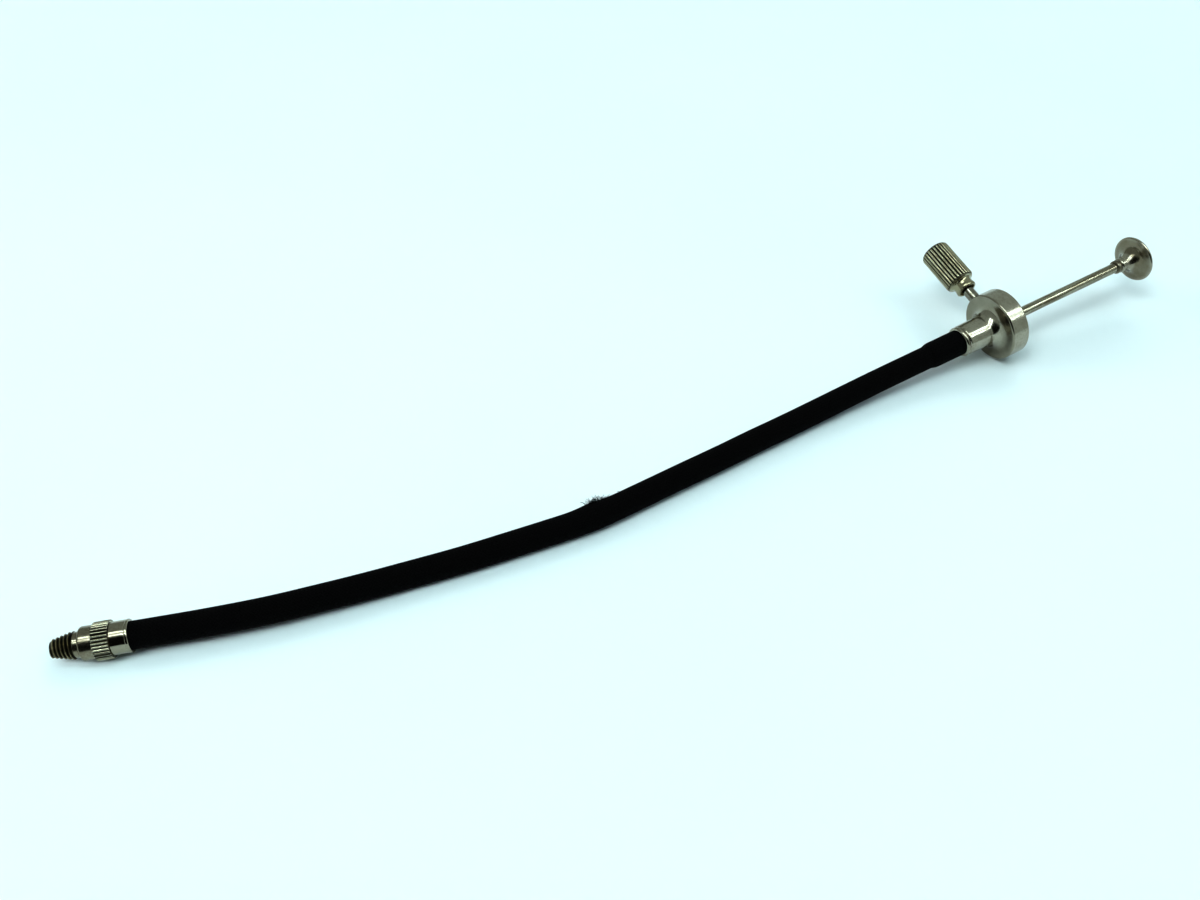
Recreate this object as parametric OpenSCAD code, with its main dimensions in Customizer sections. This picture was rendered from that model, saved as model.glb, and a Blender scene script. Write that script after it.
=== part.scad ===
// Cable shutter release: a cloth-covered cable with a sprung thumb plunger and
// a lock screw on a finger disc, and a swivelling tip with a taper thread.
// Millimetres, +Z up. The release lies on the surface z = 0, on the rim of its
// finger disc, its cable and the knurled ring of its tip. The origin is on that
// surface under the middle of the handle, and +X runs along the handle towards
// the thumb button.
//
// On the handle a length k runs along its axis from the cable side of the disc:
// positive towards the button, negative into the neck and the cable. On the tip
// a length t runs along its axis from the front face of the ferrule.

/* [Handle] */
// Angle of the handle's axis above the surface, in degrees
handle_tilt = 6.5; // [3:0.5:10]
// Diameter of the finger disc
disc_d = 11.0; // [10:0.5:14]
// Thickness of the finger disc
disc_t = 3.2; // [2.8:0.1:4]
// Radius of the disc's rounded edges
disc_round = 0.3; // [0.2:0.05:0.5]
// Length of the neck from the disc to its mouth
neck_l = 6.3; // [5.5:0.1:9]
// Diameter of the neck at its mouth
neck_d = 4.9; // [4.7:0.1:5.6]
// Diameter of the neck where its flare into the disc starts
neck_root_d = 5.1; // [4.9:0.1:5.8]
// Radius of the trumpet flare between neck and disc
flare_r = 1.7; // [1:0.1:2]
// Width of the bead round the neck's mouth
bead_w = 0.75; // [0.5:0.05:1]

/* [Plunger] */
// Diameter of the plunger rod
rod_d = 1.65; // [1.5:0.05:1.8]
// Length of rod that shows at rest, from the disc to the button's collar
rod_show = 23.1; // [18:0.1:28]
// Travel of the plunger
stroke = 13; // [10:0.5:15]
// Diameter of the thumb button
button_d = 7.6; // [6.5:0.1:9]
// Height of the button from its hub to its thumb face
button_h = 3.7; // [3.2:0.1:4.5]
// Diameter of the button's hub
hub_d = 2.4; // [2.3:0.1:2.8]
// Thickness of the button's rim
button_rim = 0.55; // [0.4:0.05:0.8]
// Radius of the flare from the hub into the button's back
button_flare_r = 1.05; // [0.8:0.05:1.3]
// Slope of the button's back from the flare to the rim, in degrees
back_slope = 15; // [8:1:20]
// Depth of the shallow dish in the thumb face
dish_depth = 0.25; // [0.1:0.05:0.4]
// Diameter of the collar under the button
collar_d = 2.2; // [2.1:0.1:2.6]
// Length of the collar under the button
collar_l = 0.8; // [0.6:0.1:1.2]

/* [Lock screw] */
// Angle of the lock screw above the horizontal, in degrees
lock_raise = 13.5; // [0:0.5:30]
// Length of bare shank between the disc's rim and the head
lock_show = 2.2; // [1.5:0.1:3]
// Diameter of the shank
shank_d = 1.8; // [1.6:0.1:2]
// Gap between the shank's point and the rod when unlocked
lock_gap = 0.5; // [0.3:0.05:0.8]
// Diameter of the knurled head
lock_head_d = 4.75; // [4.3:0.05:5.5]
// Length of the knurled head
lock_head_l = 7.2; // [5:0.1:9]
// Length of the head's waist and collar
lock_neck_l = 2.0; // [1.8:0.1:2.6]
// Diameter of the head's collar
lock_collar_d = 3.35; // [3.2:0.05:3.7]
// Number of knurl ribs round the head
lock_ribs = 26; // [20:2:32]
// Height of those ribs
lock_rib_h = 0.2; // [0.1:0.05:0.25]

/* [Spring] */
// Diameter of the return spring's wire
spring_wire = 0.25; // [0.2:0.05:0.3]
// Number of coils in the return spring
spring_turns = 11; // [8:1:12]
// Length left over when the spring is pressed flat
spring_spare = 1.4; // [1:0.1:2]

/* [Cable] */
// Outer diameter of the cloth sleeve
sleeve_d = 3.65; // [3.5:0.05:3.9]
// Thickness of the cloth
sleeve_wall = 0.3; // [0.25:0.05:0.35]
// Depth that the sleeve goes into the neck
sleeve_in = 4.5; // [3:0.1:4.5]
// Diameter of the doubled cloth at the neck
cuff_d = 4.15; // [4:0.05:4.5]
// Length of the doubled cloth at the neck
cuff_l = 6; // [4:0.5:9]
// Wall of the wound steel casing
casing_wall = 0.6; // [0.5:0.05:0.65]
// Diameter of the inner wire
wire_d = 0.9; // [0.8:0.05:1]
// Wall of the guide tube behind the disc
tube_wall = 0.25; // [0.2:0.05:0.3]

/* [Tip] */
// Angle by which the tip turns off the handle's line, in degrees
tip_yaw = 15; // [10:0.5:18]
// Diameter of the ferrule
ferrule_d = 4.3; // [4.2:0.05:4.8]
// Length of the ferrule
ferrule_l = 2.25; // [2:0.05:3]
// Diameter of the knurled ring over its ribs
ring_d = 4.9; // [4.8:0.05:5.4]
// Length of the knurled ring
ring_l = 1.9; // [1.8:0.05:2.6]
// Number of ribs round the ring
ring_ribs = 32; // [24:2:40]
// Height of those ribs
ring_rib_h = 0.18; // [0.1:0.02:0.22]
// Diameter of the nipple's barrel
barrel_d = 4.35; // [4.1:0.05:4.7]
// Length of the nipple's barrel
barrel_l = 1.9; // [1.4:0.1:2.6]
// Diameter of the relief between barrel and thread
relief_d = 3.3; // [3:0.1:3.5]
// Length of the relief
relief_l = 0.6; // [0.4:0.05:0.9]
// Diameter of the taper thread at the relief
thread_d = 3.65; // [3.5:0.05:3.8]
// Diameter of the taper thread at its small end
thread_tip_d = 2.35; // [2.2:0.05:2.6]
// Length of the taper thread
thread_l = 2.8; // [2.4:0.1:3.6]
// Diameter of the push pin
pin_d = 1.15; // [1:0.05:1.2]
// Depth of the push pin's end below the end of the thread at rest
pin_recess = 0.4; // [0.2:0.1:0.8]
// Length of push pin still guided in the nipple when it is right out
pin_guide = 3; // [2:0.5:4]

/* [Fits] */
// Radial clearance of what slides or turns
run_fit = 0.05; // [0.03:0.01:0.08]
// Radial clearance of what is soldered or pressed in place
seat_fit = 0.02; // [0.01:0.01:0.03]

/* [Hidden] */
$fn = 64;

// Sleeve, casing and wire are swept with this many sides, corners downwards.
sides = 8;
flat = cos(180 / sides);

// Radii that follow from the cable's bore
sleeve_r = sleeve_d / 2;
sleeve_bore_r = sleeve_r - sleeve_wall;
tube_r = sleeve_bore_r * flat - seat_fit;
tube_bore_r = tube_r - tube_wall;
casing_bore_r = tube_r - casing_wall;
rod_bore_r = rod_d / 2 + run_fit;
pin_bore_r = pin_d / 2 + run_fit;

// Stations along the handle
shoulder_k = 0.2;
stop_l = 1.2;
stop_k = shoulder_k - run_fit;
rod_tail_k = stop_k - stop_l;
bush_l = 2;
spring_l = stroke + spring_turns * spring_wire + spring_spare;
bush_k = rod_tail_k - spring_l;
tube_tail_k = bush_k - bush_l;
collar_k = disc_t + rod_show;
hub_k = collar_k + collar_l;
thumb_k = hub_k + button_h;
rod_nose_k = thumb_k - 1.2;
lock_k = disc_t / 2;

// Stations out along the lock screw, from the handle's axis
shank_point = rod_d / 2 + lock_gap;
lock_face = disc_d / 2 + lock_show;
knurl_in = lock_face + lock_neck_l;
lock_end = knurl_in + lock_head_l;
shank_in_head = 4;
lock_recess = 0.5;

// Parts of the swivel joint, and stations along the tip
swivel_gap = 0.15;
lip_l = 0.5;
flange_l = 0.4;
spigot_r = 1.2;
flange_r = 1.55;
ring_bore_r = 1.75;
socket_l = 1.5;
ring_t = swivel_gap;
flange_t = ring_t + lip_l + run_fit;
boss_t = flange_t + flange_l + run_fit;
barrel_t = ring_t + ring_l;
relief_t = barrel_t + barrel_l;
thread_t = relief_t + relief_l;
end_t = thread_t + thread_l;
pin_l = stroke + pin_guide;
pin_tail_t = end_t - pin_recess - pin_l;

// Where the disc's rim touches the surface, the height of the handle's k = 0
lift = disc_d / 2 * cos(handle_tilt) - disc_round * sin(handle_tilt);

// The origin is under the middle of the handle's box.
box_lo_x = tube_tail_k * cos(handle_tilt) - tube_r * sin(handle_tilt);
box_hi_x = thumb_k * cos(handle_tilt) + (button_d / 2 - button_rim / 2) * sin(handle_tilt);
box_lo_y = -disc_d / 2;
box_hi_y = lock_end * cos(lock_raise) + (lock_head_d / 2 - 0.3) * sin(lock_raise);
middle = [(box_lo_x + box_hi_x) / 2, (box_lo_y + box_hi_y) / 2, 0];

// A point of the handle's axis at k
function on_axis(k) = [k * cos(handle_tilt), 0, lift + k * sin(handle_tilt)] - middle;

// The cable's route. It leaves the mouth straight, as far as the guide tube
// reaches, and then follows points chosen by hand: the distance back from the
// mouth, the distance sideways, and the shares of the handle's and of the tip's
// extra height. It ends straight, in line with the tip.
mouth = on_axis(-neck_l);
tip_z = max(ring_d, ferrule_d, barrel_d, sleeve_d) / 2;
route_points = [
    [-21.5, -0.2, 0.21, 0], [-27, -0.5, 0.09, 0], [-33, -0.9, 0.01, 0], [-39.5, -1.4, 0, 0],
    [-46, -2, 0, 0], [-52.5, -2.5, 0, 0], [-58.5, -3, 0, 0], [-63.5, -3.4, 0, 0],
    [-66.5, -3.6, 0, 0], [-70, -3.5, 0, 0], [-74, -3.2, 0, 0], [-80, -2.7, 0, 0],
    [-86.5, -2.1, 0, 0], [-93, -1.3, 0, 0.08], [-99.5, -0.5, 0, 0.3], [-106, 0.4, 0, 0.62],
    [-112, 1.35, 0, 0.9]
];
tail_turn = [-119.2, 3];
tail_l = 9;

function routed(p) = [mouth.x + p[0], mouth.y + p[1],
    sleeve_r + p[2] * (mouth.z - sleeve_r) + p[3] * (tip_z - sleeve_r)];
tip_way = [-cos(tip_yaw), sin(tip_yaw), 0];
tail_start = [mouth.x + tail_turn[0], mouth.y + tail_turn[1], tip_z];
ferrule_back = tail_start + tail_l * tip_way;
tip_origin = ferrule_back + ferrule_l * tip_way;

// The stretch that sleeve, casing and wire share, from the guide tube's end
shared = [on_axis(tube_tail_k), on_axis(tube_tail_k - 1), for (p = route_points) routed(p), tail_start];
cable_end = ferrule_back + socket_l * tip_way;

// ---------------------------------------------------------------- placing

// Places children made along +Z from k = 0 on the handle's axis.
module on_handle() {
    translate(on_axis(0)) rotate([0, 90 - handle_tilt, 0]) children();
}

// Places children made along +Z from the handle's axis on the lock screw.
module on_lock() {
    on_handle() translate([0, 0, lock_k]) rotate([0, 0, lock_raise]) rotate([-90, 0, 0]) children();
}

// Places children made along +Z from t = 0 on the tip's axis.
module on_tip() {
    translate(tip_origin) rotate([0, 0, 180 - tip_yaw]) rotate([0, 90, 0]) children();
}

// ---------------------------------------------------------------- shapes

// Points of an arc about a centre, from one angle to another
function arc(centre, r, from, to, steps = 6) =
    [for (i = [0:steps]) let (a = from + (to - from) * i / steps) centre + r * [cos(a), sin(a)]];

// A round rod along +Z between two stations
module rod(r, from, to) {
    translate([0, 0, from]) cylinder(r = r, h = to - from);
}

// A round tube along +Z between two stations
module tube(r, bore_r, from, to) {
    difference() {
        rod(r, from, to);
        rod(bore_r, from - 1, to + 1);
    }
}

// A toothed outline of straight V ribs
module rib_outline(r, height, count) {
    polygon([for (i = [0:2 * count - 1]) let (a = i * 180 / count, reach = r - (i % 2) * height)
        reach * [cos(a), sin(a)]]);
}

// Directions across and above a route at point i
function unit(v) = v / norm(v);
function ahead(route, i) = unit(route[min(i + 1, len(route) - 1)] - route[max(i - 1, 0)]);
function across(route, i) = unit(cross(ahead(route, i), [0, 0, 1]));
function above(route, i) = cross(across(route, i), ahead(route, i));

// Corners of a ring about each point of a route
function rings(route, r, count) = [for (i = [0:len(route) - 1]) for (j = [0:count - 1])
    let (a = 90 + j * 360 / count) route[i] + r * (cos(a) * across(route, i) + sin(a) * above(route, i))];

// Triangles of a wall between rings, turned inside out for a bore
function wall(count, n, first = 0, inward = false) = [for (i = [0:count - 2]) for (j = [0:n - 1])
    let (a = first + i * n + j, b = first + i * n + (j + 1) % n, c = a + n, d = b + n)
    each inward ? [[a, c, b], [b, c, d]] : [[a, b, c], [b, d, c]]];

// A solid swept along a route
module swept_rod(route, r, n = sides) {
    m = len(route);
    last = (m - 1) * n;
    polyhedron(
        points = rings(route, r, n),
        faces = [each wall(m, n),
            for (j = [1:n - 2]) [0, j + 1, j],
            for (j = [1:n - 2]) [last, last + j, last + j + 1]]);
}

// A hollow tube swept along a route
module swept_tube(route, r, bore_r, n = sides) {
    m = len(route);
    inner = m * n;
    last = (m - 1) * n;
    polyhedron(
        points = [each rings(route, r, n), each rings(route, bore_r, n)],
        faces = [each wall(m, n), each wall(m, n, inner, true),
            for (j = [0:n - 1]) let (k = (j + 1) % n)
                each [[j, inner + j, k], [k, inner + j, inner + k]],
            for (j = [0:n - 1]) let (k = (j + 1) % n)
                each [[last + j, last + k, last + inner + j], [last + k, last + inner + k, last + inner + j]]]);
}

// ---------------------------------------------------------------- handle

// Turned disc with its flared neck, bored for the rod, the guide tube and the
// sleeve, and drilled from the rim for the lock screw
module finger_disc() {
    color([0.52, 0.52, 0.46])
    on_handle()
    difference() {
        rotate_extrude() polygon([
            [0, disc_t],
            each arc([disc_d / 2 - disc_round, disc_t - disc_round], disc_round, 90, 0, 4),
            each arc([disc_d / 2 - disc_round, disc_round], disc_round, 0, -90, 4),
            each arc([neck_root_d / 2 + flare_r, -flare_r], flare_r, 90, 180, 8),
            [neck_d / 2, -neck_l + bead_w + 0.12],
            [neck_d / 2 - 0.1, -neck_l + bead_w],
            each arc([neck_d / 2 - bead_w / 2, -neck_l + bead_w / 2], bead_w / 2, 60, -90, 6),
            [0, -neck_l]]);
        rod(rod_bore_r, shoulder_k - 0.5, disc_t + 1);
        rod(tube_r + seat_fit, -neck_l - 1, shoulder_k);
        rod(sleeve_r + seat_fit, -neck_l - 1, -neck_l + sleeve_in);
        translate([0, 0, lock_k]) rotate([0, 0, lock_raise]) rotate([-90, 0, 0])
            rod(shank_d / 2 + run_fit, 0, disc_d);
    }
}

// Thin tube behind the disc that holds the spring
module guide_tube() {
    color([0.72, 0.62, 0.36])
    on_handle() tube(tube_r, tube_bore_r, tube_tail_k, shoulder_k);
}

// Turned plug that seats the spring and centres the casing
module tube_bush() {
    color([0.72, 0.62, 0.36])
    on_handle()
    difference() {
        union() {
            rod(tube_bore_r - seat_fit, tube_tail_k, bush_k);
            rod(casing_bore_r * flat - seat_fit, tube_tail_k - 0.8, bush_k);
        }
        rod(wire_d / 2 + run_fit, tube_tail_k - 2, bush_k + 1);
    }
}

// ---------------------------------------------------------------- plunger

// Straight steel rod from the stop to the inside of the button
module plunger_rod() {
    color([0.62, 0.60, 0.54])
    on_handle() rod(rod_d / 2, rod_tail_k, rod_nose_k);
}

// Collar on the rod's tail, which stops under the disc and drives the spring
module rod_stop() {
    color([0.72, 0.62, 0.36])
    on_handle() tube(tube_bore_r - run_fit, rod_d / 2 + seat_fit, rod_tail_k, stop_k);
}

// Small turned collar on which the button seats
module button_collar() {
    color([0.52, 0.52, 0.46])
    on_handle()
    difference() {
        rotate_extrude() polygon([
            [0, collar_k],
            each arc([collar_d / 2 - 0.2, collar_k + 0.2], 0.2, -90, 0, 3),
            each arc([collar_d / 2 - 0.2, hub_k - 0.2], 0.2, 0, 90, 4),
            [0, hub_k]]);
        rod(rod_d / 2 + seat_fit, collar_k - 1, hub_k + 1);
    }
}

// Thumb button: a straight hub that flares into a slightly coned back, a round
// rim that stands proud of it, and a shallow dish in the thumb face
module thumb_button() {
    hub_r = hub_d / 2;
    rim_r = button_rim / 2;
    rim_k = thumb_k - rim_r;
    back_r = button_d / 2 - button_rim - 0.1;
    back_k = thumb_k - button_rim - 0.13;
    flare_out = hub_r + button_flare_r * (1 - sin(back_slope));
    flare_k = back_k - (back_r - flare_out) * tan(back_slope) - button_flare_r * cos(back_slope);
    dish_r = button_d / 2 - 0.9;
    color([0.52, 0.52, 0.46])
    on_handle()
    difference() {
        rotate_extrude() polygon([
            [0, hub_k],
            each arc([hub_r - 0.3, hub_k + 0.3], 0.3, -90, 0, 4),
            each arc([hub_r + button_flare_r, flare_k], button_flare_r, 180, 90 + back_slope, 8),
            [back_r, back_k],
            each arc([button_d / 2 - rim_r, rim_k], rim_r, -130, 90, 10),
            for (i = [0:4]) let (u = 1 - i / 4) [dish_r * u, thumb_k - dish_depth * (1 - u * u)]]);
        rod(rod_d / 2 + seat_fit, hub_k - 1, rod_nose_k);
    }
}

// ---------------------------------------------------------------- spring

// Helix of the spring's wire: its mean radius leaves the tube's bore free.
spring_r = tube_bore_r - run_fit - spring_wire / 2;
spring_rise = spring_l - spring_wire - 2 * seat_fit;
spring_pitch = spring_rise / spring_turns;
coil_steps = 8;
spring_path = [for (i = [0:spring_turns * coil_steps])
    [spring_r * cos(i * 360 / coil_steps), spring_r * sin(i * 360 / coil_steps),
    bush_k + seat_fit + spring_wire / 2 + spring_pitch * i / coil_steps]];

// Least gap between one coil and the points of the next, at rest
spring_gap = min([for (i = [0:len(spring_path) - coil_steps - 3]) for (j = [-2:2])
    norm(spring_path[i] - spring_path[i + coil_steps + j])]) - spring_wire;
echo(spring_gap = spring_gap);

module return_spring() {
    color([0.58, 0.58, 0.58])
    on_handle() swept_rod(spring_path, spring_wire / 2, 6);
}

// ---------------------------------------------------------------- lock screw

// Plain screw shank that clamps the rod
module lock_shank() {
    point_l = 0.3;
    color([0.68, 0.68, 0.64])
    on_lock() rotate_extrude() polygon([
        [0, shank_point],
        [shank_d / 2 - point_l, shank_point],
        [shank_d / 2, shank_point + point_l],
        [shank_d / 2, lock_face + shank_in_head],
        [0, lock_face + shank_in_head]]);
}

// Knurled head: straight ribs with chamfered ends, a concave waist, and a
// collar hollowed where the shank comes out
module lock_head() {
    head_r = lock_head_d / 2;
    collar_r = lock_collar_d / 2;
    waist_r = collar_r - 0.08;
    runout_k = knurl_in - 0.25;
    fillet_r = min(head_r - lock_rib_h - 0.05 - waist_r, lock_neck_l - 1.2);
    color([0.56, 0.52, 0.38])
    on_lock()
    difference() {
        intersection() {
            rotate_extrude() polygon([
                [0, lock_face],
                each arc([collar_r - 0.3, lock_face + 0.3], 0.3, -90, 0, 4),
                [collar_r, lock_face + 0.55],
                [waist_r, lock_face + 0.85],
                each arc([waist_r + fillet_r, runout_k - fillet_r], fillet_r, 180, 90, 5),
                [head_r + 0.1, runout_k + 0.35],
                [head_r + 0.1, lock_end - 0.45],
                [head_r - 0.35, lock_end],
                [0, lock_end]]);
            union() {
                rod(head_r + 0.3, lock_face - 1, runout_k);
                translate([0, 0, runout_k]) linear_extrude(height = lock_head_l + 1)
                    rib_outline(head_r, lock_rib_h, lock_ribs);
            }
        }
        rod(shank_d / 2 + run_fit, lock_face - 1, lock_face + shank_in_head + run_fit);
        rod(collar_r - 0.4, lock_face - 1, lock_face + lock_recess);
    }
}

// ---------------------------------------------------------------- cable

// Woven sleeve from inside the neck to inside the ferrule
module cloth_sleeve() {
    color([0.05, 0.05, 0.05])
    swept_tube([on_axis(-neck_l + sleeve_in), mouth, each shared, ferrule_back, cable_end],
        sleeve_r, sleeve_bore_r);
}

// Doubled cloth at the neck's mouth, soft at both ends
module neck_cuff() {
    cuff_r = cuff_d / 2;
    soft = (cuff_r - sleeve_r) * 0.9;
    color([0.05, 0.05, 0.05])
    on_handle()
    difference() {
        rotate_extrude() polygon([
            [0, -neck_l],
            each arc([cuff_r - soft, -neck_l - soft], soft, 90, 0, 4),
            each arc([cuff_r - soft, -neck_l - cuff_l + soft], soft, 0, -90, 4),
            [0, -neck_l - cuff_l]]);
        rod(sleeve_r + seat_fit, -neck_l - cuff_l - 1, -neck_l + 1);
    }
}

// Close-wound steel casing, as a plain tube inside the sleeve
module wound_casing() {
    color([0.45, 0.45, 0.45])
    swept_tube([each shared, ferrule_back, cable_end], tube_r, casing_bore_r);
}

// Inner wire from the rod to the push pin
module inner_wire() {
    color([0.6, 0.6, 0.6])
    swept_rod([on_axis(rod_tail_k), each shared, tip_origin + pin_tail_t * tip_way], wire_d / 2);
}

// ---------------------------------------------------------------- tip

// Ferrule crimped on the cable, with the flanged spigot that the nipple turns on
module tip_ferrule() {
    r = ferrule_d / 2;
    color([0.50, 0.50, 0.45])
    on_tip()
    difference() {
        union() {
            rotate_extrude() polygon([
                [0, -ferrule_l],
                each arc([r - 0.15, -ferrule_l + 0.15], 0.15, -90, 0, 3),
                [r, -ferrule_l + 0.35],
                [r - 0.06, -ferrule_l + 0.41],
                [r - 0.03, -ferrule_l + 0.5],
                [r - 0.03, -0.08],
                [r - 0.11, 0],
                [0, 0]]);
            rod(spigot_r, -0.1, flange_t + flange_l);
            rod(flange_r, flange_t, flange_t + flange_l);
        }
        rod(sleeve_r + seat_fit, -ferrule_l - 1, -ferrule_l + socket_l);
        rod(pin_bore_r, -ferrule_l, boss_t + 1);
    }
}

// Knurled ring pressed on the nipple, whose lip holds the spigot's flange
module knurled_ring() {
    r = ring_d / 2;
    color([0.50, 0.50, 0.45])
    on_tip()
    difference() {
        intersection() {
            translate([0, 0, ring_t]) linear_extrude(height = ring_l)
                rib_outline(r, ring_rib_h, ring_ribs);
            rotate_extrude() polygon([
                [0, ring_t],
                [r - 0.1, ring_t],
                [r + 0.1, ring_t + 0.2],
                [r + 0.1, barrel_t - 0.2],
                [r - 0.1, barrel_t],
                [0, barrel_t]]);
        }
        rod(spigot_r + run_fit, ring_t - 1, barrel_t);
        rod(ring_bore_r, ring_t + lip_l, barrel_t + 1);
    }
}

// Turned nipple: a boss in the ring, the barrel, the relief and the taper thread
module threaded_nipple() {
    r = barrel_d / 2;
    color([0.46, 0.42, 0.34])
    on_tip()
    difference() {
        rotate_extrude() polygon([
            [0, boss_t],
            [ring_bore_r - seat_fit, boss_t],
            [ring_bore_r - seat_fit, barrel_t],
            [r, barrel_t],
            each arc([r - 0.35, relief_t - 0.35], 0.35, 0, 90, 4),
            [relief_d / 2, relief_t],
            [relief_d / 2, thread_t - 0.1],
            [thread_d / 2, thread_t + 0.1],
            [thread_tip_d / 2, end_t - 0.1],
            [thread_tip_d / 2 - 0.1, end_t],
            [0, end_t]]);
        rod(pin_bore_r, boss_t - 1, end_t + 1);
        translate([0, 0, end_t - 0.15]) cylinder(r1 = pin_bore_r, r2 = pin_bore_r + 0.25, h = 0.25);
    }
}

// Pin that pushes the shutter's release, guided in the nipple and the casing
module push_pin() {
    color([0.66, 0.66, 0.62])
    on_tip() rotate_extrude() polygon([
        [0, pin_tail_t],
        [pin_d / 2, pin_tail_t],
        [pin_d / 2, end_t - pin_recess - 0.15],
        [pin_d / 2 - 0.15, end_t - pin_recess],
        [0, end_t - pin_recess]]);
}

finger_disc();
plunger_rod();
rod_stop();
button_collar();
thumb_button();
return_spring();
guide_tube();
tube_bush();
lock_shank();
lock_head();
cloth_sleeve();
neck_cuff();
wound_casing();
inner_wire();
tip_ferrule();
knurled_ring();
threaded_nipple();
push_pin();
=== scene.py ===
import math
import random

import bmesh
import bpy
from mathutils import Matrix, Vector


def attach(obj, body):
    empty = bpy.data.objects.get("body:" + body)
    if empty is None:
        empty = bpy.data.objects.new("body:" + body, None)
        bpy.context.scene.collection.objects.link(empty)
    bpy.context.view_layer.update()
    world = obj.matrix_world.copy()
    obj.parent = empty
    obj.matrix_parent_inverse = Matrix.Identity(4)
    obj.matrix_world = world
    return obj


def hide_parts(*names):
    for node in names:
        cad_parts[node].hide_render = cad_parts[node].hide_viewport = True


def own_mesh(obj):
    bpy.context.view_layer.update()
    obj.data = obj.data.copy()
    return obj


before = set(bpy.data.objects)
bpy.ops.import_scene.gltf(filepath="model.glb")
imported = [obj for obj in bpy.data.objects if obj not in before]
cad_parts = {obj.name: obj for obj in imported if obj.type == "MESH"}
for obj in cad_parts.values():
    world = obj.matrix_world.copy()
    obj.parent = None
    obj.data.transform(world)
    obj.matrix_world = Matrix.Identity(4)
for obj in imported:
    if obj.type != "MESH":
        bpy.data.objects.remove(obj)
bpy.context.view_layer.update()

scene = bpy.context.scene

# ------------------------------------------------------------------ camera

camera = bpy.data.objects.new("camera", bpy.data.cameras.new("camera"))
scene.collection.objects.link(camera)
camera.location = (-0.121627, -0.093889, 0.113770)
camera.rotation_euler = (math.radians(43.92), 0, math.radians(-27.34))
camera.data.sensor_width = 36
camera.data.lens = 31.5
camera.data.clip_start = 0.005
scene.camera = camera

# ------------------------------------------------------------------ sizes, in millimetres

# In degrees: the handle's lean up from the level, the tip's turn, the lock screw's raise
handle_tilt = 6.5
tip_yaw = 15
lock_raise = 13.5
# The middle of the disc's back face and of the ferrule's front face
disc_face_centre = (-5.38684, -5.70873, 5.43068)
ferrule_front_x, ferrule_front_y = -141.7130, 0.20299

# Stations and radii along the handle, from the disc's back face towards the button
neck_mouth = -6.3
disc_front = 3.2
disc_rim_r = 5.5
disc_round = 0.3
rod_tail, rod_nose = -1.05, 29.6
rod_r = 0.825
collar_back, collar_front = 26.3, 27.1
thumb_face = 30.8

# The same out along the lock screw, from the handle's axis
shank_r = 0.9
lock_head_r = 2.375
lock_head_end = 16.9
lock_ribs, lock_rib_height = 26, 0.2

# The cable. Its braid has braid_around strands each way and repeats every braid_pitch.
braid_around = 24
braid_pitch = 0.5
sleeve_r = 1.825
sleeve_bore_r = 1.5
sleeve_weave_depth = 0.035
cuff_wall = 0.225
cuff_weave_depth = 0.02
# The bore that the sleeve fits, in the neck, the cuff and the ferrule
sleeve_fit_r = 1.845

# The tip, from the ferrule's front face
tip_r = 2.45
ring_end = 2.05
ring_ribs, ring_rib_height = 32, 0.18
rib_shape = (0.0, 0.10, 0.45, 0.85, 1.0, 0.85, 0.45, 0.10)
thread_start, thread_end = 4.55, 7.35
thread_pitch = 0.5
crest_r = 1.825
taper_start, taper_length, taper_drop = 4.65, 2.6, 0.65

# How near the axis a closed end's last ring comes
axis_r = 0.05

# The return spring, between the bush and the rod's stop
spring_back, spring_front = -18.055, -1.195
spring_r, spring_wire_r = 0.964, 0.124
spring_coils = 11

MM = Matrix.Scale(0.001, 4)
handle_place = (
    MM
    @ Matrix.Translation(disc_face_centre)
    @ Matrix.Rotation(math.radians(90 - handle_tilt), 4, "Y")
)
lock_turn = (
    Matrix.Translation((0, 0, disc_front / 2))
    @ Matrix.Rotation(math.radians(lock_raise), 4, "Z")
    @ Matrix.Rotation(math.radians(-90), 4, "X")
)
lock_place = handle_place @ lock_turn
tip_place = (
    MM
    @ Matrix.Translation((ferrule_front_x, ferrule_front_y, tip_r))
    @ Matrix.Rotation(math.radians(180 - tip_yaw), 4, "Z")
    @ Matrix.Rotation(math.radians(90), 4, "Y")
)


# ------------------------------------------------------------------ finishes


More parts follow.
